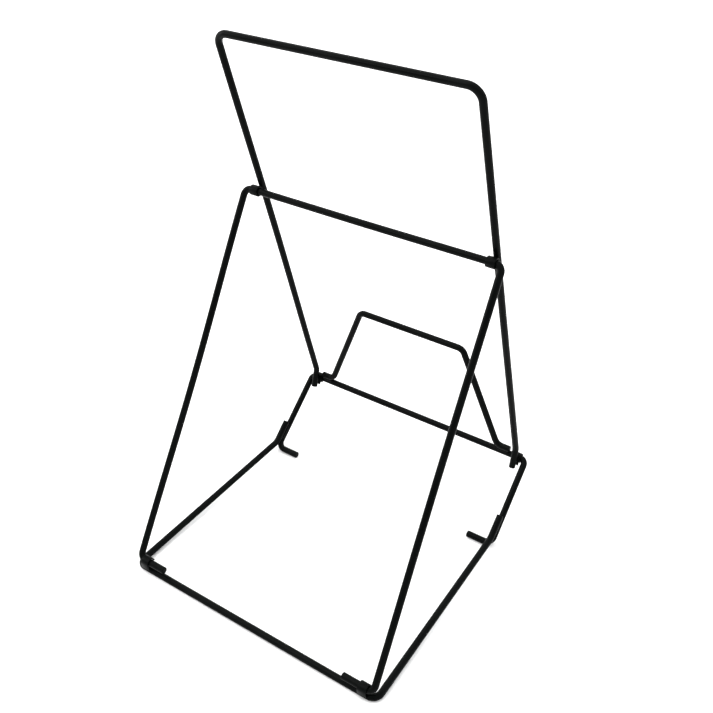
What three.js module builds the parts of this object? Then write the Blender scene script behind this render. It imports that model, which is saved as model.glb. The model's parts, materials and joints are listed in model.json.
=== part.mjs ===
// Photo album stand: five bent steel wires joined by six sheet-steel hinge straps.
// Millimetres, +Z up, the album side faces -Y, the stand rests on Z = 0.
// "depth" runs from the rear bar (0) towards the album side; "height" is measured
// from the centreline of the wires that lie on the table.
import * as THREE from 'three';

// wire and strap stock
const WIRE_D = 4.5;
const WIRE_R = WIRE_D / 2;
const WIRE_SIDES = 16;
const BEND_STEP = 12;
const BEND_STEPS_MIN = 3;
const WELD_GAP = 0.3;
const LAP_PITCH = WIRE_D + WELD_GAP;
const STRAP_T = 0.8;
const STRAP_W = 6;
const STRAP_CLEARANCE = 0.35;
const STRAP_TO_LEG = 0.25;
const RING_IN = WIRE_R + STRAP_CLEARANCE;
const RING_OUT = RING_IN + STRAP_T;
const HINGE_PITCH = WIRE_R + RING_OUT + STRAP_TO_LEG;
const RING_STEPS = 24;
const RING_SWEEP = 310;

// where the rear bar sits in the finished frame
const REAR_BAR_Y = 94.35;

// base loop lying on the table
const BASE_X = 0;
const BASE_HALF_W = 95;
const BASE_END_X = -1.4;
const BASE_END_HALF_W = 91.2;
const BASE_RISE_H = 5.3;
const BASE_CORNER_R = 5.5;
const BASE_RISE_R = 8;
const BASE_LAP = 17.2;

// raised crossbar and its two sloping arms
const RISER_DEPTH = 188.7;
const RISER_H = 39;
const RISER_HALF_W = 90.6;
const RISER_X = -1.6;
const RISER_CORNER_R = 4;
const FOOT_DEPTH = 141.6;
const FOOT_HALF_W = 91.1;
const FOOT_CORNER_R = 5.5;
const FOOT_LIP = 18;

// small front loop welded on the raised crossbar
const LIP_TOP_X = 0;
const LIP_TOP_DEPTH = 187.3;
const LIP_TOP_H = 113.5;
const LIP_TOP_HALF_W = 41.2;
const LIP_BASE_X = -0.6;
const LIP_BASE_HALF_W = 69.7;
const LIP_CORNER_R = 5.5;
const LIP_TOE_LEFT = 9.5;
const LIP_TOE_RIGHT = 10;
const LIP_TOE_R = 6;
const LIP_WELD_ANGLE = 100;

// backrest frame
const BACK_X = -1.6;
const BACK_HALF_W = 84.2;
const BACK_LEAN = 14.2;
const BACK_LENGTH = 297.7;
const BACK_OFFSET = 0.9;
const BACK_CORNER_R = 8;
const KINK_ABOVE = 10.2;
const KINK_R = 8;
const LEG_END_LEAN = 16.5;
const LEG_END = 14.2;

// prop frame
const PROP_X = -0.6;
const PROP_AT = 188.6;
const PROP_HALF_W = 91.5;
const PROP_FOOT_HALF_W = 92.4;
const PROP_CORNER_R = 4.5;
const PROP_FOOT_R = 4.5;
const STUB_DEPTH = 0;
const STUB_H = 5.4;
const STUB_LIFT_LEFT = 1.5;
const STUB_LENGTH = 21.5;

// hinge straps
const BACK_TAIL = 4.5;
const PROP_TAIL = 5.5;
const FOOT_TAIL = 4.2;
const BACK_STRAP_SHIFT = 3;
const PROP_STRAP_SHIFT = 2.8;
const FOOT_STRAP_INSET = 3.3;

const rad = (degrees) => degrees * Math.PI / 180;

// directions in the side plane, as [depth, height]
const BACK_UP = [-Math.sin(rad(BACK_LEAN)), Math.cos(rad(BACK_LEAN))];
const BACK_REAR = [-Math.cos(rad(BACK_LEAN)), -Math.sin(rad(BACK_LEAN))];
const LEG_END_DOWN = [-Math.sin(rad(LEG_END_LEAN)), -Math.cos(rad(LEG_END_LEAN))];
const ARM_ANGLE = Math.atan2(RISER_H, RISER_DEPTH - FOOT_DEPTH);
const ARM_UP = [Math.cos(ARM_ANGLE), Math.sin(ARM_ANGLE)];
const ARM_REAR = [-ARM_UP[1], ARM_UP[0]];

const step = (from, dir, length) => [from[0] + dir[0] * length, from[1] + dir[1] * length];

// points in the side plane
const RISER_AXIS = [RISER_DEPTH, RISER_H];
const BACK_ROOT = step(RISER_AXIS, BACK_REAR, BACK_OFFSET);
const BACK_TOP = step(BACK_ROOT, BACK_UP, BACK_LENGTH);
const KINK = step(BACK_ROOT, BACK_UP, KINK_ABOVE);
const LEG_TIP = step(KINK, LEG_END_DOWN, LEG_END);
const PROP_AXIS = step(step(BACK_ROOT, BACK_UP, PROP_AT), BACK_REAR, HINGE_PITCH);
const STUB_LEFT = [STUB_DEPTH, STUB_H + STUB_LIFT_LEFT];
const STUB_RIGHT = [STUB_DEPTH, STUB_H];

// a side-plane point at sideways position x, in the finished frame
function at(x, point) {
  return new THREE.Vector3(x, REAR_BAR_Y - point[0], point[1] + WIRE_R);
}

// a path given as explicit stations, one extrusion step between neighbours
class StationPath extends THREE.Curve {
  constructor(stations) {
    super();
    this.stations = stations;
  }

  getUtoTmapping(u) {
    return u;
  }

  getPoint(t, target = new THREE.Vector3()) {
    const last = this.stations.length - 1;
    const place = Math.min(Math.max(t, 0), 1) * last;
    const index = Math.min(Math.floor(place), last - 1);
    return target.lerpVectors(this.stations[index], this.stations[index + 1], place - index);
  }

  // tangents halve the angle at each station so that the wall stays even
  getTangent(t, target = new THREE.Vector3()) {
    const last = this.stations.length - 1;
    const index = Math.round(t * last);
    const here = this.stations[index];
    target.set(0, 0, 0);
    if (index > 0) {
      target.add(here.clone().sub(this.stations[index - 1]).normalize());
    }
    if (index < last) {
      target.add(this.stations[index + 1].clone().sub(here).normalize());
    }
    return target.normalize();
  }
}

// stations round one bend: from the tangent point before it to the one after it
function bendStations(before, corner, after, radius) {
  const into = corner.clone().sub(before).normalize();
  const out = after.clone().sub(corner).normalize();
  const turn = into.angleTo(out);
  const reach = radius * Math.tan(turn / 2);
  const start = corner.clone().addScaledVector(into, -reach);
  const inward = out.clone().addScaledVector(into, -out.dot(into)).normalize();
  const centre = start.clone().addScaledVector(inward, radius);
  const steps = Math.max(BEND_STEPS_MIN, Math.round(turn / rad(BEND_STEP)));
  const stations = [];
  for (let i = 0; i <= steps; i += 1) {
    const angle = turn * i / steps;
    const point = centre.clone().addScaledVector(inward, -radius * Math.cos(angle));
    point.addScaledVector(into, radius * Math.sin(angle));
    stations.push(point);
  }
  return stations;
}

// round wire through the given corners; its flats touch the nominal diameter,
// and spin turns them about the wire
function wireGeometry(corners, radii, spin = 0) {
  const stations = [corners[0]];
  for (let i = 1; i < corners.length - 1; i += 1) {
    stations.push(...bendStations(corners[i - 1], corners[i], corners[i + 1], radii[i - 1]));
  }
  stations.push(corners[corners.length - 1]);
  const section = new THREE.Shape();
  for (let i = 0; i < WIRE_SIDES; i += 1) {
    const angle = spin + 2 * Math.PI * (i + 0.5) / WIRE_SIDES;
    const reach = WIRE_R / Math.cos(Math.PI / WIRE_SIDES);
    const x = reach * Math.cos(angle);
    const y = reach * Math.sin(angle);
    if (i === 0) {
      section.moveTo(x, y);
    } else {
      section.lineTo(x, y);
    }
  }
  section.closePath();
  return new THREE.ExtrudeGeometry(section, {
    steps: stations.length - 1,
    curveSegments: 1,
    extrudePath: new StationPath(stations),
  });
}

// mirror a half path given for one side into the whole symmetric path
function symmetric(halfPath, centreX) {
  const left = halfPath.map(([x, point]) => at(centreX + x, point));
  const right = halfPath.map(([x, point]) => at(centreX - x, point)).reverse();
  return [...left, ...right];
}

function symmetricRadii(radii) {
  return [...radii, ...[...radii].reverse()];
}

// rear bar, side runs that climb a little, and ends lapped on the rear of the riser arms
function baseLoop() {
  const lapLine = step([FOOT_DEPTH, 0], ARM_REAR, LAP_PITCH);
  const toRise = (BASE_RISE_H - lapLine[1]) / ARM_UP[1];
  const rise = step(lapLine, ARM_UP, toRise);
  const tip = step(rise, ARM_UP, BASE_LAP);
  const side = (sign) => [
    at(BASE_END_X + sign * BASE_END_HALF_W, tip),
    at(BASE_END_X + sign * BASE_END_HALF_W, rise),
    at(BASE_X + sign * BASE_HALF_W, [0, 0]),
  ];
  const path = [...side(1), ...side(-1).reverse()];
  const slope = Math.atan2(BASE_RISE_H, rise[0]);
  return wireGeometry(path, symmetricRadii([BASE_RISE_R, BASE_CORNER_R]), -slope);
}

// raised crossbar, sloping arms and short inward feet
function riserFrame() {
  const half = [
    [FOOT_HALF_W - FOOT_LIP, [FOOT_DEPTH, 0]],
    [FOOT_HALF_W, [FOOT_DEPTH, 0]],
    [RISER_HALF_W, RISER_AXIS],
  ];
  const path = symmetric(half, RISER_X);
  return wireGeometry(path, symmetricRadii([FOOT_CORNER_R, RISER_CORNER_R]));
}

// trapezoid loop whose toes lie along the top of the raised crossbar
function frontLipLoop() {
  const weld = [Math.cos(rad(LIP_WELD_ANGLE)), Math.sin(rad(LIP_WELD_ANGLE))];
  const toe = step(RISER_AXIS, weld, LAP_PITCH);
  const side = (sign, toeLength) => [
    at(LIP_BASE_X + sign * (LIP_BASE_HALF_W + toeLength), toe),
    at(LIP_BASE_X + sign * LIP_BASE_HALF_W, toe),
    at(LIP_TOP_X + sign * LIP_TOP_HALF_W, [LIP_TOP_DEPTH, LIP_TOP_H]),
  ];
  const path = [...side(1, LIP_TOE_LEFT), ...side(-1, LIP_TOE_RIGHT).reverse()];
  return wireGeometry(path, symmetricRadii([LIP_TOE_R, LIP_CORNER_R]));
}

// tall frame, its leg ends kinked behind the raised crossbar
function backrestFrame() {
  const half = [
    [BACK_HALF_W, LEG_TIP],
    [BACK_HALF_W, KINK],
    [BACK_HALF_W, BACK_TOP],
  ];
  const path = symmetric(half, BACK_X);
  return wireGeometry(path, symmetricRadii([KINK_R, BACK_CORNER_R]));
}

// crossbar behind the backrest, two legs, and stubs turned in over the rear bar
function propFrame() {
  const side = (sign, stub) => [
    at(PROP_X + sign * (PROP_FOOT_HALF_W - STUB_LENGTH), stub),
    at(PROP_X + sign * PROP_FOOT_HALF_W, stub),
    at(PROP_X + sign * PROP_HALF_W, PROP_AXIS),
  ];
  const path = [...side(1, STUB_LEFT), ...side(-1, STUB_RIGHT).reverse()];
  return wireGeometry(path, symmetricRadii([PROP_FOOT_R, PROP_CORNER_R]));
}

// strap outline: flat tail, part ring about the origin, tail tangent at angle `from`
function strapOutline(from, sweep, tail) {
  const radial = [Math.cos(from), Math.sin(from)];
  const along = [Math.sin(from), -Math.cos(from)];
  const place = (radius, length) => [
    radial[0] * radius + along[0] * length,
    radial[1] * radius + along[1] * length,
  ];
  const ring = (radius) => {
    const points = [];
    for (let i = 0; i <= RING_STEPS; i += 1) {
      const angle = from + sweep * i / RING_STEPS;
      points.push([radius * Math.cos(angle), radius * Math.sin(angle)]);
    }
    return points;
  };
  const outer = ring(RING_OUT);
  const inner = ring(RING_IN).reverse();
  return [place(RING_IN, tail), place(RING_OUT, tail), ...outer, ...inner];
}

// a strap of STRAP_W, from sideways position x in the +X direction, about a side-plane axis
function strapGeometry(x, axis, outline) {
  const shape = new THREE.Shape(outline.map(([depth, height]) => new THREE.Vector2(-depth, height)));
  const geometry = new THREE.ExtrudeGeometry(shape, { depth: STRAP_W, bevelEnabled: false, steps: 1 });
  const frame = new THREE.Matrix4().makeBasis(
    new THREE.Vector3(0, 1, 0),
    new THREE.Vector3(0, 0, 1),
    new THREE.Vector3(1, 0, 0),
  );
  frame.setPosition(at(x, axis));
  return geometry.applyMatrix4(frame);
}

// ring on the raised crossbar, tail under the kinked leg end
function backrestStrap(legX) {
  const from = Math.atan2(Math.sin(rad(LEG_END_LEAN)), -Math.cos(rad(LEG_END_LEAN)));
  const outline = strapOutline(from, -rad(RING_SWEEP), -BACK_TAIL);
  return strapGeometry(legX - STRAP_W + BACK_STRAP_SHIFT, RISER_AXIS, outline);
}

// ring on the prop crossbar, tail down the rear of the backrest leg
function propStrap(legX) {
  const outline = strapOutline(rad(BACK_LEAN), rad(RING_SWEEP), PROP_TAIL);
  return strapGeometry(legX - PROP_STRAP_SHIFT, PROP_AXIS, outline);
}

// hook over the prop stub, tail down the outside of the rear bar
function footStrap(nearX, stub) {
  const outline = strapOutline(Math.PI, -Math.PI, -FOOT_TAIL);
  return strapGeometry(nearX, stub, outline);
}

const PAINT = {
  wire: { color: 0x15181a, roughness: 0.42, metalness: 0.15 },
  strap: { color: 0x17191b, roughness: 0.46, metalness: 0.18 },
};

const group = new THREE.Group();

function add(name, geometry, paint) {
  const mesh = new THREE.Mesh(geometry, new THREE.MeshStandardMaterial(paint));
  mesh.name = name;
  group.add(mesh);
}

const LEFT_LEG_X = BACK_X + BACK_HALF_W;
const RIGHT_LEG_X = BACK_X - BACK_HALF_W;
const FOOT_STRAP_OUT = PROP_FOOT_HALF_W - FOOT_STRAP_INSET;

add('base_loop', baseLoop(), PAINT.wire);
add('riser_frame', riserFrame(), PAINT.wire);
add('front_lip_loop', frontLipLoop(), PAINT.wire);
add('backrest_frame', backrestFrame(), PAINT.wire);
add('prop_frame', propFrame(), PAINT.wire);
add('backrest_strap_left', backrestStrap(LEFT_LEG_X), PAINT.strap);
add('backrest_strap_right', backrestStrap(RIGHT_LEG_X), PAINT.strap);
add('prop_strap_left', propStrap(LEFT_LEG_X), PAINT.strap);
add('prop_strap_right', propStrap(RIGHT_LEG_X), PAINT.strap);
add('foot_strap_left', footStrap(PROP_X + FOOT_STRAP_OUT - STRAP_W, STUB_LEFT), PAINT.strap);
add('foot_strap_right', footStrap(PROP_X - FOOT_STRAP_OUT, STUB_RIGHT), PAINT.strap);

export default group;
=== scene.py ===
"""Looks of a folding wire display stand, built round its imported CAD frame.

Metres, +Z up, the album side faces -Y. Every piece stands where the frame says.
"""

import json
import math

import bmesh
import bpy
from mathutils import Matrix, Vector, noise


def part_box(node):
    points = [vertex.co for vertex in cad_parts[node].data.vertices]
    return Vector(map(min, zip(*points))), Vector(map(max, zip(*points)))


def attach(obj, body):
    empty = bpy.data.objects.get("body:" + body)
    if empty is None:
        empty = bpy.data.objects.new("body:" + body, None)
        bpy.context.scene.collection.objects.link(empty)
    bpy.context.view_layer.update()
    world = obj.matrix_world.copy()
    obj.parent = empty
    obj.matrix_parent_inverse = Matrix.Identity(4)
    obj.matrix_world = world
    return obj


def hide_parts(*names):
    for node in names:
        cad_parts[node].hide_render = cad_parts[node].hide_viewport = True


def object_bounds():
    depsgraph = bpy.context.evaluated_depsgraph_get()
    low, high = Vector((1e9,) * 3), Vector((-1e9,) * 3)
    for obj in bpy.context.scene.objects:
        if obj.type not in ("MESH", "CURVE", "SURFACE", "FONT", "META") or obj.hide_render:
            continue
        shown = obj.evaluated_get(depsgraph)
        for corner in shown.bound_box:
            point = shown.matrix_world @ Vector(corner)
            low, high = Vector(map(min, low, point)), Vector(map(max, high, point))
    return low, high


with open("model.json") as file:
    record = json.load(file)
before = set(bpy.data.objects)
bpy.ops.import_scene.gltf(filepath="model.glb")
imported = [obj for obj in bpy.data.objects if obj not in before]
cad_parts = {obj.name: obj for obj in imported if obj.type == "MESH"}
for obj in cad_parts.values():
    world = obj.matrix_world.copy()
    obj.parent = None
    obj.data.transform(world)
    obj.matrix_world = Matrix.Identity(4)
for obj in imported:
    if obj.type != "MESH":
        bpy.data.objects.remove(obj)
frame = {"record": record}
CAD_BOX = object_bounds()

bl_info = {
    "name": "Wire display stand",
    "version": (1, 0, 0),
    "blender": (4, 5, 0),
    "location": "View3D > Sidebar > Stand",
    "description": "Builds the bent wires, hinge straps, welds and stage of a display stand",
    "category": "Object",
}

MM = 0.001

# ---------------------------------------------------------------- the frame's own places


def joint_place(name):
    """Where a hinge's axis crosses the middle plane, as (y, z)."""
    for hinge in frame["record"]["behaviour"]["joints"]:
        if hinge["name"] == name:
            return Vector(hinge["pos_m"]).yz
    raise ValueError(f"the frame has no joint named {name}")


RISER_AXIS = joint_place("backrest_fold")
PROP_AXIS = joint_place("prop_swing")

# ---------------------------------------------------------------- sizes a user would change


class WireSizes(bpy.types.PropertyGroup):
    """Sizes of the bent wires that the frame's boxes don't give."""

    diameter: bpy.props.FloatProperty(
        name="Diameter", description="Diameter of the wire", default=4.5 * MM, unit="LENGTH"
    )
    cut_chamfer: bpy.props.FloatProperty(
        name="Cut chamfer",
        description="Softened edge of a cut end",
        default=0.45 * MM,
        unit="LENGTH",
    )
    backrest_bow: bpy.props.FloatVectorProperty(
        name="Backrest bow",
        description="How far the left and right backrest legs bow inwards",
        default=(0.9 * MM, 0.2 * MM),
        size=2,
        unit="LENGTH",
    )
    prop_bow: bpy.props.FloatVectorProperty(
        name="Prop bow",
        description="How far the left and right prop legs bow inwards",
        default=(1.4 * MM, 0.4 * MM),
        size=2,
        unit="LENGTH",
    )
    prop_bar_sag: bpy.props.FloatProperty(
        name="Prop bar sag",
        description="How far the prop crossbar sags",
        default=0.3 * MM,
        unit="LENGTH",
    )
    wide_bend: bpy.props.FloatProperty(
        name="Wide bend", description="Bend radius at the big corners", default=8 * MM, unit="LENGTH"
    )
    base_bend: bpy.props.FloatProperty(
        name="Base bend",
        description="Bend radius at the rear corners of the base",
        default=5.5 * MM,
        unit="LENGTH",
    )
    tight_bend: bpy.props.FloatProperty(
        name="Tight bend", description="Bend radius beside a hinge strap", default=4.5 * MM, unit="LENGTH"
    )


class StrapSizes(bpy.types.PropertyGroup):
    """Sizes of the sheet-steel hinge straps."""

    thickness: bpy.props.FloatProperty(
        name="Thickness", description="Thickness of the sheet", default=0.8 * MM, unit="LENGTH"
    )
    clearance: bpy.props.FloatProperty(
        name="Clearance",
        description="Play between a strap and its wire",
        default=0.35 * MM,
        unit="LENGTH",
    )
    edge_round: bpy.props.FloatProperty(
        name="Edge rounding",
        description="Rounding of the painted edges",
        default=0.16 * MM,
        unit="LENGTH",
    )


class PaintLook(bpy.types.PropertyGroup):
    """Colour and texture of the powder coat."""

    colour: bpy.props.FloatVectorProperty(
        name="Colour",
        description="Colour of the coat",
        default=(0.0008, 0.0012, 0.0011),
        size=3,
        subtype="COLOR",
    )
    roughness: bpy.props.FloatProperty(
        name="Roughness",
        description="Middle roughness of the coat",
        default=0.27,
        subtype="FACTOR",
    )
    peel: bpy.props.FloatProperty(
        name="Orange peel",
        description="Width of the ripples in the coat",
        default=1.1 * MM,
        unit="LENGTH",
    )
    wear: bpy.props.FloatProperty(
        name="Edge wear",
        description="How much edges and cut ends show through",
        default=0.35,
        subtype="FACTOR",
    )


class StageLook(bpy.types.PropertyGroup):
    """Floor and lights."""

    floor_colour: bpy.props.FloatVectorProperty(
        name="Floor colour",
        description="Colour of the floor",
        default=(0.92, 0.92, 0.92),
        size=3,
        subtype="COLOR",
    )
    sky: bpy.props.FloatProperty(
        name="Sky", description="Strength of the surrounding light", default=0.82
    )
    key: bpy.props.FloatProperty(
        name="Key", description="Strength of the soft lights together", default=4.2
    )
    strip: bpy.props.FloatProperty(
        name="Strip", description="Power of the left strip light, in watts", default=5.0
    )


def sizes():
    """The wire sizes as they are set now."""
    return bpy.context.scene.stand_wire


def wire_radius():
    return sizes().diameter / 2


def strap_reach():
    """Outer radius of a strap's ring."""
    straps = bpy.context.scene.stand_strap
    return wire_radius() + straps.clearance + straps.thickness


# ---------------------------------------------------------------- wire shapes

SIDES = 28
BEND_STEP = math.radians(6)
BEND_STEPS_MIN = 4
RUN_STEP = 8 * MM
# How the edge of a cut end is rounded, as (along the wire, inwards) in parts of the chamfer.
CUT_ROUND = ((0.0, 1.0), (0.08, 0.55), (0.3, 0.2), (0.62, 0.04))
# Left is at +X.
HANDS = (("left", 1), ("right", -1))


def bend_points(before, corner, after, radius):
    """Points round one bend, from the tangent point before it to the one after it."""
    into = (corner - before).normalized()
    out = (after - corner).normalized()
    turn = into.angle(out)
    start = corner - into * radius * math.tan(turn / 2)
    inward = (out - into * out.dot(into)).normalized()
    centre = start + inward * radius
    steps = max(BEND_STEPS_MIN, round(turn / BEND_STEP))
    angles = [turn * i / steps for i in range(steps + 1)]
    return [centre - inward * radius * math.cos(a) + into * radius * math.sin(a) for a in angles]


def run_points(start, end, bow):
    """Points strictly between two places, bowed sideways in the middle."""
    steps = max(2, round((end - start).length / RUN_STEP))
    shares = [i / steps for i in range(1, steps)]
    return [start.lerp(end, s) + bow * math.sin(math.pi * s) ** 2 for s in shares]


def wire_route(corners, radii, bows=None):
    """Centreline of a bent wire: its corners, the radius at each inner one, and the bow of each run."""
    bows = bows or {}
    pieces = [[corners[0]]]
    for i in range(1, len(corners) - 1):
        pieces.append(bend_points(corners[i - 1], corners[i], corners[i + 1], radii[i - 1]))
    pieces.append([corners[-1]])
    route = list(pieces[0])
    for i in range(1, len(pieces)):
        route += run_points(pieces[i - 1][-1], pieces[i][0], bows.get(i - 1, Vector()))
        route += pieces[i]
    return route


def sweep_frames(points):
    """Tangent and two normals at each point, carried along without twist."""
    last = len(points) - 1
    tangents = [(points[min(i + 1, last)] - points[max(i - 1, 0)]).normalized() for i in range(last + 1)]
    normal = tangents[0].orthogonal().normalized()
    frames = []
    for tangent in tangents:
        normal = (normal - tangent * normal.dot(tangent)).normalized()
        frames.append((tangent, normal, tangent.cross(normal)))
    return frames


def smooth_object(name, bm):
    """An object in the scene from a finished bmesh, shaded smooth."""
    bmesh.ops.recalc_face_normals(bm, faces=bm.faces)
    mesh = bpy.data.meshes.new(name)
    bm.to_mesh(mesh)
    bm.free()
    mesh.shade_smooth()
    piece = bpy.data.objects.new(name, mesh)
    bpy.context.collection.objects.link(piece)
    return piece


def ring_mesh(name, rings):
    """A mesh object from rings of points, its ends closed by fans."""
    bm = bmesh.new()
    loops = [[bm.verts.new(p) for p in ring] for ring in rings]
    for a, b in zip(loops, loops[1:]):
        count = len(a)
        for i in range(count):
            j = (i + 1) % count
            bm.faces.new((a[i], a[j], b[j], b[i]))
    for loop in (loops[0], loops[-1]):
        hub = bm.verts.new(sum((v.co for v in loop), Vector()) / len(loop))
        for i, vert in enumerate(loop):
            bm.faces.new((vert, loop[(i + 1) % len(loop)], hub))
    return smooth_object(name, bm)


def wire_piece(name, route):
    """A round wire along a route, with sheared ends whose edges the coat softens."""
    radius = wire_radius()
    chamfer = sizes().cut_chamfer
    frames = sweep_frames(route)
    first, last = frames[0][0] * chamfer, frames[-1][0] * chamfer
    head = [(route[0] + first * along, radius - chamfer * inset) for along, inset in CUT_ROUND]
    tail = [(route[-1] - last * along, radius - chamfer * inset) for along, inset in CUT_ROUND]
    stations = [(point, radius) for point in (route[0] + first, *route[1:-1], route[-1] - last)]
    stations = head + stations + tail[::-1]
    frames = [frames[0]] * len(head) + frames + [frames[-1]] * len(tail)
    angles = [2 * math.pi * i / SIDES for i in range(SIDES)]
    rings = []
    for (point, reach), (_, normal, side) in zip(stations, frames):
        rings.append([point + (normal * math.cos(a) + side * math.sin(a)) * reach for a in angles])
    return ring_mesh(name, rings)


def settle(piece, body, slot_name, paint, *nodes):
    """Paint a piece, tie it to its body and hide the CAD nodes it stands for. slot_name is not used."""
    piece.data.materials.append(paint)
    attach(piece, body)
    if nodes:
        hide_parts(*nodes)
    return piece


def spot(x, place):
    """A place of the side plane at sideways position x."""
    return Vector((x, place[0], place[1]))


def box_middle(node):
    """Middle and half width along X of a node's box."""
    low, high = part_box(node)
    return (low.x + high.x) / 2, (high.x - low.x) / 2


# ---------------------------------------------------------------- centrelines

BASE_END_SHIFT = 0.2 * MM
BASE_LAP = 17.2 * MM
FOOT_LIP = 18 * MM
FOOT_BEND = 5.5 * MM
RISER_TOP_NARROWER = 0.5 * MM
RISER_BEND = 4 * MM
LIP_TOP_HALF = 41.2 * MM
LIP_FOOT_SHIFT = -0.6 * MM
LIP_FOOT_HALF = 69.7 * MM
LIP_FOOT_BEND = 6 * MM
LIP_TOP_BEND = 5.5 * MM
BACK_OFFSET = 0.9 * MM
KINK_ABOVE = 10.2 * MM
LEG_END = 14.2 * MM
LEG_END_LEAN = math.radians(16.5)
PROP_TOP_HALF = 91.5 * MM
PROP_FOOT_BEND = 4.5 * MM
STUB_LENGTH = 21.5 * MM


def arm_direction():
    """The riser's foot on the ground and the unit vector up its arms, in the side plane."""
    radius = wire_radius()
    low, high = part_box("riser_frame")
    foot = Vector((high.y - radius, low.z + radius))
    return foot, (RISER_AXIS - foot).normalized()


def base_lap_line():
    """Tip and bend of the base loop's lapped ends, in the side plane."""
    radius = wire_radius()
    low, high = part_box("base_loop")
    up = arm_direction()[1]
    tip = Vector((low.y + radius * up.y, high.z - radius * abs(up.x)))
    return tip, tip - up * BASE_LAP


def base_loop_route():
    """From one lapped end, along a side, round the rear bar and back to the other end."""
    radius = wire_radius()
    low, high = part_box("base_loop")
    middle, half = box_middle("base_loop")
    riser_middle, riser_half = box_middle("riser_frame")
    tip, bend = base_lap_line()
    rear = Vector((high.y - radius, low.z + radius))
    end_middle = riser_middle + BASE_END_SHIFT
    end_half = riser_half - radius

    def side(sign):
        return [
            spot(end_middle + sign * end_half, tip),
            spot(end_middle + sign * end_half, bend),
            spot(middle + sign * (half - radius), rear),
        ]

    rise, corner = sizes().wide_bend, sizes().base_bend
    return wire_route(side(1) + side(-1)[::-1], [rise, corner, corner, rise])


def riser_frame_route():
    """Foot, arm, crossbar, arm and foot."""
    radius = wire_radius()
    middle, half = box_middle("riser_frame")
    foot = arm_direction()[0]
    reach = half - radius

    def side(sign):
        return [
            spot(middle + sign * (reach - FOOT_LIP), foot),
            spot(middle + sign * reach, foot),
            spot(middle + sign * (reach - RISER_TOP_NARROWER), RISER_AXIS),
        ]

    return wire_route(side(1) + side(-1)[::-1], [FOOT_BEND, RISER_BEND, RISER_BEND, FOOT_BEND])


def lip_toe_line():
    """The front loop's toes, in the side plane."""
    radius = wire_radius()
    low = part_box("front_lip_loop")[0]
    return Vector((low.y + radius, low.z + radius))


def front_lip_route():
    """The small trapezoid, from toe to toe."""
    radius = wire_radius()
    low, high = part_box("front_lip_loop")
    top = Vector((high.y - radius, high.z - radius))
    toe = lip_toe_line()
    corners = [
        spot(high.x, toe),
        spot(LIP_FOOT_SHIFT + LIP_FOOT_HALF, toe),
        spot(LIP_TOP_HALF, top),
        spot(-LIP_TOP_HALF, top),
        spot(LIP_FOOT_SHIFT - LIP_FOOT_HALF, toe),
        spot(low.x, toe),
    ]
    return wire_route(corners, [LIP_FOOT_BEND, LIP_TOP_BEND, LIP_TOP_BEND, LIP_FOOT_BEND])


def backrest_places():
    """Top, kink and leg tip of the backrest, and its upward direction, in the side plane."""
    radius = wire_radius()
    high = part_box("backrest_frame")[1]
    top = Vector((high.y - radius, high.z - radius))
    to_top = top - RISER_AXIS
    lean = math.atan2(to_top.x, to_top.y) - math.asin(BACK_OFFSET / to_top.length)
    up = Vector((math.sin(lean), math.cos(lean)))
    rear = Vector((math.cos(lean), -math.sin(lean)))
    kink = RISER_AXIS + rear * BACK_OFFSET + up * KINK_ABOVE
    end_down = Vector((math.sin(LEG_END_LEAN), -math.cos(LEG_END_LEAN)))
    return top, kink, kink + end_down * LEG_END, up


def backrest_route():
    """The tall frame, from leg tip to leg tip, over its top bar."""
    radius = wire_radius()
    middle, half = box_middle("backrest_frame")
    top, kink, tip, _ = backrest_places()
    reach = half - radius

    def side(sign):
        return [spot(middle + sign * reach, place) for place in (tip, kink, top)]

    wide = sizes().wide_bend
    left, right = (Vector((bow, 0, 0)) for bow in sizes().backrest_bow)
    return wire_route(side(1) + side(-1)[::-1], [wide] * 4, {1: -left, 3: right})


def stub_place(label):
    """Axis of a prop stub in the side plane, from the strap rolled over it."""
    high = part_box(f"foot_strap_{label}")[1]
    return Vector((high.y - strap_reach(), high.z - strap_reach()))


def prop_route():
    """Stub, leg, crossbar, leg and stub."""
    radius = wire_radius()
    middle, half = box_middle("prop_frame")
    reach = half - radius

    def side(label, sign):
        stub = stub_place(label)
        return [
            spot(middle + sign * (reach - STUB_LENGTH), stub),
            spot(middle + sign * reach, stub),
            spot(middle + sign * PROP_TOP_HALF, PROP_AXIS),
        ]

    tight = sizes().tight_bend
    left, right = (Vector((bow, 0, 0)) for bow in sizes().prop_bow)
    sag = Vector((0, 0, -sizes().prop_bar_sag))
    bends = [PROP_FOOT_BEND, tight, tight, PROP_FOOT_BEND]
    start, end = (side(*hand) for hand in HANDS)
    return wire_route(start + end[::-1], bends, {1: -left, 2: sag, 3: right})


# ---------------------------------------------------------------- hinge straps

RING_STEPS = 56
RING_SWEEP = math.radians(310)
SHARP_EDGE = math.radians(50)


def strap_outline(start, sweep, tail):
    """Side view of a strap about its wire: a flat tail that runs into a ring."""
    inner = wire_radius() + bpy.context.scene.stand_strap.clearance
    outer = strap_reach()
    radial = Vector((math.cos(start), math.sin(start)))
    along = Vector((math.sin(start), -math.cos(start))) * math.copysign(1, sweep)

    def ring(radius):
        angles = [start + sweep * i / RING_STEPS for i in range(RING_STEPS + 1)]
        return [Vector((math.cos(a), math.sin(a))) * radius for a in angles]

    outward = [radial * outer + along * tail] + ring(outer)
    inward = ring(inner)[::-1] + [radial * inner + along * tail]
    return outward + inward


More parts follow.
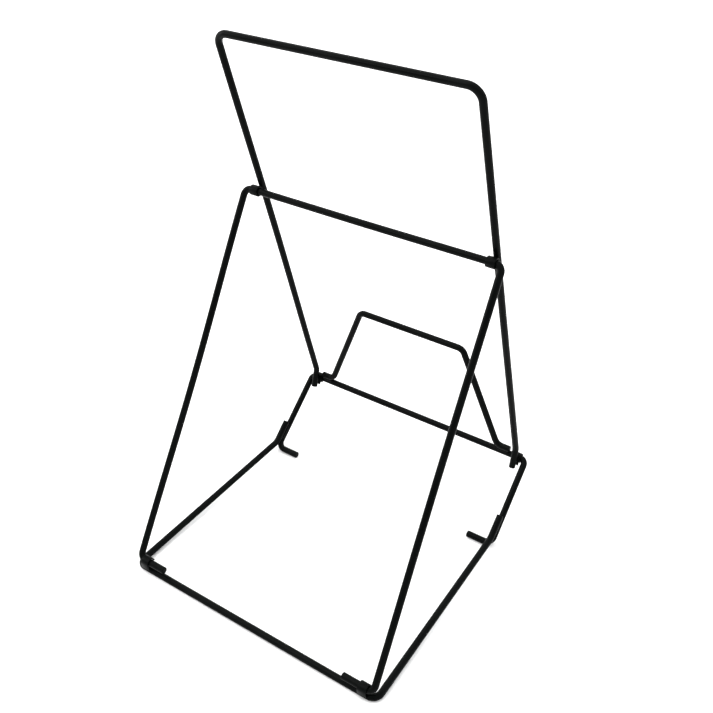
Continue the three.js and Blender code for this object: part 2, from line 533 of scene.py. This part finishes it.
def strap_piece(name, node, axis, outline):
    """A strap across the node's own width, its edges rounded by the coat."""
    low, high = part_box(node)
    bm = bmesh.new()
    sides = []
    for x in (low.x, high.x):
        sides.append([bm.verts.new((x, axis[0] + p.x, axis[1] + p.y)) for p in outline])
    near, far = sides
    count = len(outline)
    half = count // 2
    for i in range(count):
        j = (i + 1) % count
        bm.faces.new((near[i], near[j], far[j], far[i]))
    for row in sides:
        for i in range(half - 1):
            bm.faces.new((row[i], row[i + 1], row[count - 2 - i], row[count - 1 - i]))
    piece = smooth_object(name, bm)
    rounding = piece.modifiers.new("edge rounding", "BEVEL")
    rounding.width = bpy.context.scene.stand_strap.edge_round
    rounding.segments = 3
    rounding.limit_method = "ANGLE"
    rounding.angle_limit = SHARP_EDGE
    return piece


# ---------------------------------------------------------------- welds

BEAD_SIDES = 14
BEAD_STEP = 0.28 * MM
BEAD_STEPS_MIN = 12
BEAD_RIPPLE = 1.3 * MM
BEAD_SWELL = 0.10
BEAD_FLATNESS = 0.86
BEAD_TIP = 0.02
LUMP_HEIGHT = 0.12
LUMPS_PER_METRE = 900
LAP_BEAD = 0.95 * MM
LAP_GROOVE = 1.3 * MM
SEAM_BEAD = 0.62 * MM
SEAM_LIFT = 0.05 * MM


def weld_bead(name, start, end, radius, flat_to):
    """A rippled bead from start to end, a little flatter along flat_to, thin at both ends."""
    length = (end - start).length
    direction = (end - start).normalized()
    normal = (flat_to - direction * flat_to.dot(direction)).normalized()
    side = direction.cross(normal)
    steps = max(BEAD_STEPS_MIN, round(length / BEAD_STEP))
    angles = [2 * math.pi * k / BEAD_SIDES for k in range(BEAD_SIDES)]
    rings = []
    for i in range(steps + 1):
        share = i / steps
        centre = start.lerp(end, share)
        ripple = 1 + BEAD_SWELL * math.cos(2 * math.pi * share * length / BEAD_RIPPLE)
        taper = math.sqrt(max(BEAD_TIP, 1 - (2 * share - 1) ** 6))
        ring = []
        for angle in angles:
            spoke = normal * math.cos(angle) * BEAD_FLATNESS + side * math.sin(angle)
            lump = 1 + LUMP_HEIGHT * noise.noise((centre + spoke * radius) * LUMPS_PER_METRE)
            ring.append(centre + spoke * radius * ripple * taper * lump)
        rings.append(ring)
    return ring_mesh(name, rings)


def lap_welds(name, start, end, across):
    """Two beads in the grooves between lapped wires. start and end lie midway between them."""
    direction = (end - start).normalized()
    groove = direction.cross(across).normalized()
    for label, sign in (("a", 1), ("b", -1)):
        offset = groove * sign * LAP_GROOVE
        bead = weld_bead(f"{name}_{label}", start + offset, end + offset, LAP_BEAD, groove)
        settle(bead, "base", "wire_paint", paint_for("weld_coat"))


# ---------------------------------------------------------------- powder coat


def node_at(tree, kind, x, y, **values):
    """A shader node at (x, y), its inputs or settings filled in by name."""
    node = tree.nodes.new(kind)
    node.location = (x, y)
    for key, value in values.items():
        if key in node.inputs:
            node.inputs[key].default_value = value
        else:
            setattr(node, key, value)
    return node


def remapped(tree, place, source, span, target=(0.0, 1.0)):
    """A socket that takes span of source to target."""
    node = node_at(tree, "ShaderNodeMapRange", *place)
    limits = {"From Min": span[0], "From Max": span[1], "To Min": target[0], "To Max": target[1]}
    for name, value in limits.items():
        node.inputs[name].default_value = value
    tree.links.new(source, node.inputs["Value"])
    return node.outputs["Result"]


def product(tree, place, first, second):
    """A socket with the product of two sockets."""
    node = node_at(tree, "ShaderNodeMath", *place, operation="MULTIPLY")
    tree.links.new(first, node.inputs[0])
    tree.links.new(second, node.inputs[1])
    return node.outputs["Value"]


def covered(tree, place, under, colour, share):
    """A colour socket where share of one colour lies over another."""
    node = node_at(tree, "ShaderNodeMixRGB", *place)
    node.inputs["Color2"].default_value = (*colour, 1)
    tree.links.new(under, node.inputs["Color1"])
    tree.links.new(share, node.inputs["Fac"])
    return node.outputs["Color"]


def relief(tree, x, height, strength, depth, under=None):
    """A bump on top of another one."""
    node = node_at(tree, "ShaderNodeBump", x, -300, Strength=strength, Distance=depth)
    tree.links.new(height, node.inputs["Height"])
    if under:
        tree.links.new(under, node.inputs["Normal"])
    return node.outputs["Normal"]


CLOUD_SCALE = 38.0
GRAIN_FINER = 3.2
PITS_WIDER = 0.55
CLOUD_DARK = 0.62
CLOUD_LIGHT = 1.55
CLOUD_LIFT = 0.0012
CLOUD_SPAN = (0.3, 0.72)
DUST_COLOUR = (0.0036, 0.0048, 0.0044)
DUST_SLOPES = (0.35, 1.0)
DUST_COVER = 0.30
WORN_COLOUR = (0.10, 0.102, 0.105)
EDGE_SPAN = (0.56, 0.66)
GLOSS_SPREAD = (-0.07, 0.11)
PIT_EDGE = 0.16
PEEL_DEPTH = 0.10 * MM
GRAIN_DEPTH = 0.03 * MM
PIT_DEPTH = 0.02 * MM


def coat_colour(tree, base, clouds, grain, wear):
    """Cloudy colour, with dull dust on what faces up and wear on what is sharp."""
    surface = node_at(tree, "ShaderNodeNewGeometry", -1500, -500)
    tone = node_at(tree, "ShaderNodeValToRGB", -950, 350)
    dark, light = tone.color_ramp.elements
    dark.position, light.position = CLOUD_SPAN
    dark.color = (*(channel * CLOUD_DARK for channel in base), 1)
    light.color = (*(channel * CLOUD_LIGHT + CLOUD_LIFT for channel in base), 1)
    tree.links.new(clouds, tone.inputs["Fac"])

    upward = node_at(tree, "ShaderNodeSeparateXYZ", -1250, -500)
    tree.links.new(surface.outputs["Normal"], upward.inputs["Vector"])
    dust = remapped(tree, (-950, -450), upward.outputs["Z"], DUST_SLOPES, (0.0, DUST_COVER))
    patches = product(tree, (-750, -450), dust, clouds)
    dusted = covered(tree, (-600, 250), tone.outputs["Color"], DUST_COLOUR, patches)

    edge = remapped(tree, (-950, 0), surface.outputs["Pointiness"], EDGE_SPAN, (0.0, wear))
    chipped = product(tree, (-750, 0), edge, grain)
    return covered(tree, (-400, 250), dusted, WORN_COLOUR, chipped)


def powder_coat(name, tint, roughness_shift, wear_gain):
    """Satin black powder coat: orange peel, fine grain, small pits and uneven gloss."""
    look = bpy.context.scene.stand_paint
    paint = bpy.data.materials.new(name)
    paint.use_nodes = True
    tree = paint.node_tree
    shader = tree.nodes["Principled BSDF"]
    place = node_at(tree, "ShaderNodeTexCoord", -1500, 0).outputs["Object"]

    def texture(kind, y, output, **values):
        node = node_at(tree, kind, -1250, y, **values)
        tree.links.new(place, node.inputs["Vector"])
        return node.outputs[output]

    mottle = "ShaderNodeTexNoise"
    clouds = texture(mottle, 300, "Fac", Scale=CLOUD_SCALE, Detail=5.0, Roughness=0.62)
    peel = texture(mottle, 0, "Fac", Scale=1 / look.peel, Detail=1.5, Roughness=0.45)
    grain = texture(mottle, -250, "Fac", Scale=GRAIN_FINER / look.peel, Detail=2.0, Roughness=0.6)
    cells = texture("ShaderNodeTexVoronoi", 600, "Distance", Scale=PITS_WIDER / look.peel)

    base = [channel * share for channel, share in zip(look.colour, tint)]
    colour = coat_colour(tree, base, clouds, grain, look.wear * wear_gain)
    tree.links.new(colour, shader.inputs["Base Color"])

    span = [look.roughness + roughness_shift + spread for spread in GLOSS_SPREAD]
    gloss = remapped(tree, (-400, 0), clouds, (0.0, 1.0), span)
    tree.links.new(gloss, shader.inputs["Roughness"])

    ripples = relief(tree, -400, peel, 0.35, PEEL_DEPTH)
    grained = relief(tree, -200, grain, 0.22, GRAIN_DEPTH, ripples)
    pits = remapped(tree, (-950, 600), cells, (0.0, PIT_EDGE))
    pitted = relief(tree, 0, pits, 0.12, PIT_DEPTH, grained)
    tree.links.new(pitted, shader.inputs["Normal"])

    shader.inputs["Specular IOR Level"].default_value = 0.038
    shader.inputs["IOR"].default_value = 1.45
    shader.inputs["Metallic"].default_value = 0.0
    return paint


def paint_for(kind):
    """The coat of wires, straps or welds, made once from its tint, duller gloss and wear."""
    recipes = {
        "wire_coat": ((1.0, 1.0, 1.0), 0.0, 1.0),
        "strap_coat": ((1.15, 1.12, 1.14), 0.05, 1.6),
        "weld_coat": ((0.9, 0.92, 0.92), 0.08, 0.8),
    }
    return bpy.data.materials.get(kind) or powder_coat(kind, *recipes[kind])


# ---------------------------------------------------------------- operators


class STAND_OT_base_wires(bpy.types.Operator):
    """Bend the base loop, the riser frame and the small front loop"""

    bl_idname = "stand.base_wires"
    bl_label = "Base wires"

    def execute(self, context):
        wires = (
            ("base_loop_wire", "base_loop", base_loop_route()),
            ("riser_frame_wire", "riser_frame", riser_frame_route()),
            ("front_lip_wire", "front_lip_loop", front_lip_route()),
        )
        for name, node, route in wires:
            settle(wire_piece(name, route), "base", "wire_paint", paint_for("wire_coat"), node)
        return {"FINISHED"}


class STAND_OT_backrest_wire(bpy.types.Operator):
    """Bend the tall backrest frame"""

    bl_idname = "stand.backrest_wire"
    bl_label = "Backrest wire"

    def execute(self, context):
        piece = wire_piece("backrest_wire", backrest_route())
        settle(piece, "backrest", "wire_paint", paint_for("wire_coat"), "backrest_frame")
        return {"FINISHED"}


class STAND_OT_prop_wire(bpy.types.Operator):
    """Bend the prop frame"""

    bl_idname = "stand.prop_wire"
    bl_label = "Prop wire"

    def execute(self, context):
        piece = wire_piece("prop_wire", prop_route())
        settle(piece, "prop", "wire_paint", paint_for("wire_coat"), "prop_frame")
        return {"FINISHED"}


class STAND_OT_straps(bpy.types.Operator):
    """Roll the hinge straps round their wires"""

    bl_idname = "stand.straps"
    bl_label = "Hinge straps"

    BACK_TAIL = 4.5 * MM
    PROP_TAIL = 5.5 * MM
    FOOT_TAIL = 4.2 * MM

    def execute(self, context):
        up = backrest_places()[3]
        lean = math.atan2(up.x, up.y)
        back = strap_outline(LEG_END_LEAN, RING_SWEEP, self.BACK_TAIL)
        prop = strap_outline(math.pi - lean, -RING_SWEEP, self.PROP_TAIL)
        foot = strap_outline(0.0, math.pi, self.FOOT_TAIL)
        coat = paint_for("strap_coat")
        for side, _ in HANDS:
            straps = (
                ("backrest", f"backrest_strap_{side}", RISER_AXIS, back),
                ("backrest", f"prop_strap_{side}", PROP_AXIS, prop),
                ("prop", f"foot_strap_{side}", stub_place(side), foot),
            )
            for body, node, axis, outline in straps:
                piece = strap_piece(f"{node}_sheet", node, axis, outline)
                settle(piece, body, "strap_paint", coat, node)
        return {"FINISHED"}


class STAND_OT_welds(bpy.types.Operator):
    """Lay the weld beads where wires lap and where straps meet the backrest legs"""

    bl_idname = "stand.welds"
    bl_label = "Welds"

    BASE_WELD_START = 3.5 * MM
    BASE_WELD_END = 0.8 * MM
    LIP_WELD_START = 0.5 * MM
    LIP_WELD_END = 0.6 * MM
    # Each seam's ends along the leg, and the sideways places of its two beads on the leg.
    BACK_SEAM = (-1.0 * MM, 4.2 * MM)
    BACK_BEADS = (1.45 * MM, -1.45 * MM)
    PROP_SEAM = (-1.2 * MM, 5.1 * MM)
    PROP_BEADS = (1.45 * MM, -1.05 * MM)

    def execute(self, context):
        self.base_laps()
        self.lip_laps()
        self.strap_seams()
        return {"FINISHED"}

    def base_laps(self):
        foot, up = arm_direction()
        tip, bend = base_lap_line()
        middle, half = box_middle("riser_frame")
        reach = half - wire_radius() - RISER_TOP_NARROWER / 2
        rear = Vector((-up.y, up.x))
        if rear.dot(tip - foot) < 0:
            rear = -rear
        seam = rear * -(tip - foot).dot(rear) / 2
        for label, sign in HANDS:
            x = middle + BASE_END_SHIFT / 2 + sign * reach
            start = spot(x, bend + up * self.BASE_WELD_START + seam)
            end = spot(x, tip - up * self.BASE_WELD_END + seam)
            lap_welds(f"base_lap_weld_{label}", start, end, spot(0, rear))

    def lip_laps(self):
        toe = lip_toe_line()
        low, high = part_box("front_lip_loop")
        between = (toe + RISER_AXIS) / 2
        across = spot(0, toe - RISER_AXIS)
        for (label, sign), outer in zip(HANDS, (high.x, low.x)):
            start_x = LIP_FOOT_SHIFT + sign * (LIP_FOOT_HALF + self.LIP_WELD_START)
            end_x = outer - sign * self.LIP_WELD_END
            lap_welds(f"lip_lap_weld_{label}", spot(start_x, between), spot(end_x, between), across)

    def strap_seams(self):
        """Beads along both sides of each backrest leg where a strap's tail lies against it."""
        _, kink, tip, up = backrest_places()
        down = (tip - kink).normalized()
        rear = Vector((-down.y, down.x))
        front = Vector((-up.y, up.x))
        lift = strap_reach() + SEAM_LIFT
        middle, half = box_middle("backrest_frame")
        seams = (
            ("backrest_strap", RISER_AXIS + rear * lift, rear, down, self.BACK_SEAM, self.BACK_BEADS),
            ("prop_strap", PROP_AXIS + front * lift, front, -up, self.PROP_SEAM, self.PROP_BEADS),
        )
        for label, sign in HANDS:
            leg_x = middle + sign * (half - wire_radius())
            for strap, seam, outward, along, ends, shifts in seams:
                for edge, shift in zip("ab", shifts):
                    start, end = (spot(leg_x + shift, seam + along * way) for way in ends)
                    name = f"{strap}_weld_{label}_{edge}"
                    bead = weld_bead(name, start, end, SEAM_BEAD, spot(0, outward))
                    settle(bead, "backrest", "strap_paint", paint_for("weld_coat"))


class STAND_OT_stage(bpy.types.Operator):
    """Set out the floor, the lights and the camera"""

    bl_idname = "stand.stage"
    bl_label = "Stage"

    CAMERA_PLACE = Vector((-0.2986, 0.3818, 0.5015))
    CAMERA_AZIMUTH = math.radians(215.15)
    CAMERA_ELEVATION = math.radians(33.11)
    CAMERA_ROLL = math.radians(-1.6)
    SENSOR = 36.0
    LENS = 50.05
    SHIFT = (-0.0147, -0.0701)
    CLIP = (0.01, 200)
    FLOOR_SIZE = 80.0
    FLOOR_ROUGHNESS = 0.8
    # Each soft light's direction from the stand, width in degrees and share of the strength.
    SOFT_LIGHTS = {
        "key light": ((0.8, 0.0, 0.9), 100, 0.5),
        "fill light": ((-0.3, -0.5, 1.0), 120, 0.5),
    }
    # Each strip light's place from the stand's middle and share of the strip power.
    STRIP_LIGHTS = {
        "left strip": ((1.1, 0.5, 0.45), 1.0),
        "high strip": ((0.45, 0.65, 0.95), 0.5),
    }
    STRIP_SIZE = (0.16, 0.9)

    def execute(self, context):
        self.floor(context)
        self.lights(context)
        self.camera(context)
        return {"FINISHED"}

    def floor(self, context):
        look = context.scene.stand_stage
        mesh = bpy.data.meshes.new("floor")
        reach = self.FLOOR_SIZE / 2
        corners = [(-reach, -reach, 0), (reach, -reach, 0), (reach, reach, 0), (-reach, reach, 0)]
        mesh.from_pydata(corners, [], [(0, 1, 2, 3)])
        floor = bpy.data.objects.new("floor", mesh)
        context.collection.objects.link(floor)
        finish = bpy.data.materials.new("pale floor")
        finish.use_nodes = True
        shader = finish.node_tree.nodes["Principled BSDF"]
        shader.inputs["Base Color"].default_value = (*look.floor_colour, 1)
        shader.inputs["Roughness"].default_value = self.FLOOR_ROUGHNESS
        mesh.materials.append(finish)

    def lights(self, context):
        look = context.scene.stand_stage
        world = bpy.data.worlds.new("studio")
        context.scene.world = world
        world.use_nodes = True
        sky = world.node_tree.nodes["Background"]
        sky.inputs["Color"].default_value = (1, 1, 1, 1)
        sky.inputs["Strength"].default_value = look.sky
        context.scene.view_settings.view_transform = "Standard"
        for name, (source, width, share) in self.SOFT_LIGHTS.items():
            lamp = bpy.data.lights.new(name, "SUN")
            lamp.angle = math.radians(width)
            lamp.energy = look.key * share
            self.hang(context, lamp, Vector(source), Vector(source))
        middle = (CAD_BOX[0] + CAD_BOX[1]) / 2
        for name, (source, share) in self.STRIP_LIGHTS.items():
            lamp = bpy.data.lights.new(name, "AREA")
            lamp.shape = "RECTANGLE"
            lamp.size, lamp.size_y = self.STRIP_SIZE
            lamp.energy = look.strip * share
            self.hang(context, lamp, middle + Vector(source), Vector(source))

    def hang(self, context, lamp, place, source):
        """Puts a light at its place, shining away from source."""
        holder = bpy.data.objects.new(lamp.name, lamp)
        holder.location = place
        holder.rotation_mode = "QUATERNION"
        holder.rotation_quaternion = (-source).to_track_quat("-Z", "Y")
        context.collection.objects.link(holder)

    def camera(self, context):
        data = bpy.data.cameras.new("camera")
        data.sensor_width = self.SENSOR
        data.lens = self.LENS
        data.shift_x, data.shift_y = self.SHIFT
        data.clip_start, data.clip_end = self.CLIP
        camera = bpy.data.objects.new("camera", data)
        azimuth, elevation = self.CAMERA_AZIMUTH, self.CAMERA_ELEVATION
        level = math.cos(elevation)
        back = Vector((math.sin(azimuth) * level, -math.cos(azimuth) * level, math.sin(elevation)))
        right = Vector((math.cos(azimuth), math.sin(azimuth), 0))
        turn = Matrix.Rotation(self.CAMERA_ROLL, 3, back)
        right = turn @ right
        up = back.cross(right)
        facing = Matrix((right, up, back)).transposed().to_4x4()
        camera.matrix_world = Matrix.Translation(self.CAMERA_PLACE) @ facing
        context.collection.objects.link(camera)
        context.scene.camera = camera


class STAND_PT_panel(bpy.types.Panel):
    """Lists the steps that build the stand"""

    bl_idname = "STAND_PT_panel"
    bl_label = "Wire display stand"
    bl_space_type = "VIEW_3D"
    bl_region_type = "UI"
    bl_category = "Stand"

    def draw(self, context):
        for step in STEPS:
            self.layout.operator(step.bl_idname)
        for holder, names in SETTINGS.items():
            box = self.layout.box()
            for name in names.__annotations__:
                box.prop(getattr(context.scene, holder), name)


STEPS = (
    STAND_OT_base_wires,
    STAND_OT_backrest_wire,
    STAND_OT_prop_wire,
    STAND_OT_straps,
    STAND_OT_welds,
    STAND_OT_stage,
)
SETTINGS = {
    "stand_wire": WireSizes,
    "stand_strap": StrapSizes,
    "stand_paint": PaintLook,
    "stand_stage": StageLook,
}


def register():
    for kind in (*SETTINGS.values(), *STEPS, STAND_PT_panel):
        bpy.utils.register_class(kind)
    for holder, kind in SETTINGS.items():
        setattr(bpy.types.Scene, holder, bpy.props.PointerProperty(type=kind))


def unregister():
    for holder in SETTINGS:
        delattr(bpy.types.Scene, holder)
    for kind in (STAND_PT_panel, *STEPS, *SETTINGS.values()):
        bpy.utils.unregister_class(kind)


def main():
    register()
    for step in STEPS:
        group, name = step.bl_idname.split(".")
        getattr(getattr(bpy.ops, group), name)()


if __name__ == "__main__":
    main()
